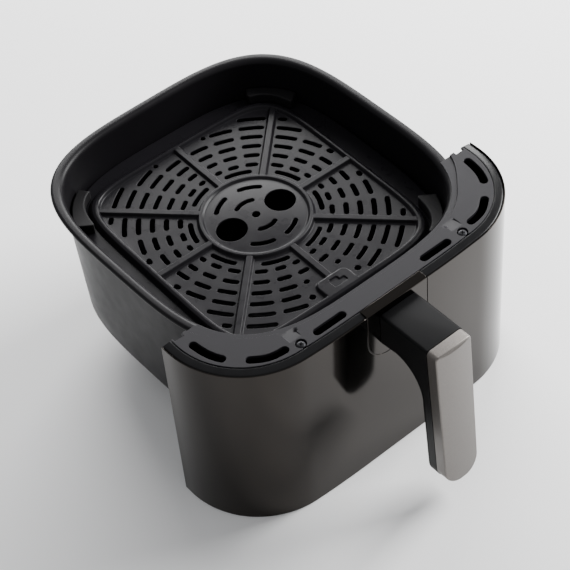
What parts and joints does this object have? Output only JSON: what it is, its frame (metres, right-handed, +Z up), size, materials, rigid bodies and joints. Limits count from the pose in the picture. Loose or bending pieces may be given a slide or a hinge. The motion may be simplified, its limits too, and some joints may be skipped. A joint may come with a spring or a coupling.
{
  "type": "air fryer drawer",
  "caption": "Pull-out drawer of a basket air fryer: coated square pan, lift-out perforated crisper plate on silicone pads, curved metal fascia and drop handle.",
  "frame": {"origin": "bottom centre of the drawer's bounding box, in the plane of the fascia's lower edge", "axes": "+Z up, -Y towards the user (handle side), +Y into the appliance, +X to the user's right"},
  "size_m": [0.2938, 0.3594, 0.1604],
  "materials": {
    "pan_coating": "satin non-stick coating on drawn steel",
    "plate_coating": "satin non-stick coating on pressed steel",
    "tinted_steel": "dark tinted, near mirror polish",
    "black_plastic": "glossy moulded black",
    "bezel_plastic": "fine spark texture, dark grey",
    "handle_plastic": "satin moulded black",
    "cap_metallic": "satin metallic paint, warm grey",
    "silicone": "matte black silicone",
    "zinc_steel": "bright zinc plate"
  },
  "bodies": {
    "drawer": {"pan": "pan_coating", "pan_bracket": "zinc_steel", "fascia_skin": "tinted_steel", "fascia_frame": "black_plastic", "fascia_inner_panel": "black_plastic", "top_bezel": "bezel_plastic", "handle_mount_plate": "tinted_steel", "handle_body": "handle_plastic", "handle_back_cover": "handle_plastic", "handle_core": "zinc_steel", "handle_cap": "cap_metallic", "bezel_screw_left": "zinc_steel", "bezel_screw_right": "zinc_steel", "bracket_screw_left": "zinc_steel", "bracket_screw_right": "zinc_steel", "panel_screw_left_low": "zinc_steel", "panel_screw_left_high": "zinc_steel", "panel_screw_right_low": "zinc_steel", "panel_screw_right_high": "zinc_steel", "grip_screw_lower": "zinc_steel", "grip_screw_upper": "zinc_steel"},
    "tray": {"crisper_plate": "plate_coating", "bumper_front_left": "silicone", "bumper_front_right": "silicone", "bumper_rear_left": "silicone", "bumper_rear_right": "silicone"}
  },
  "joints": [
    {"name": "tray_lift", "type": "slide", "parent": "drawer", "child": "tray", "axis": [0, 0, 1], "range_m": [0, 0.09]}
  ]
}
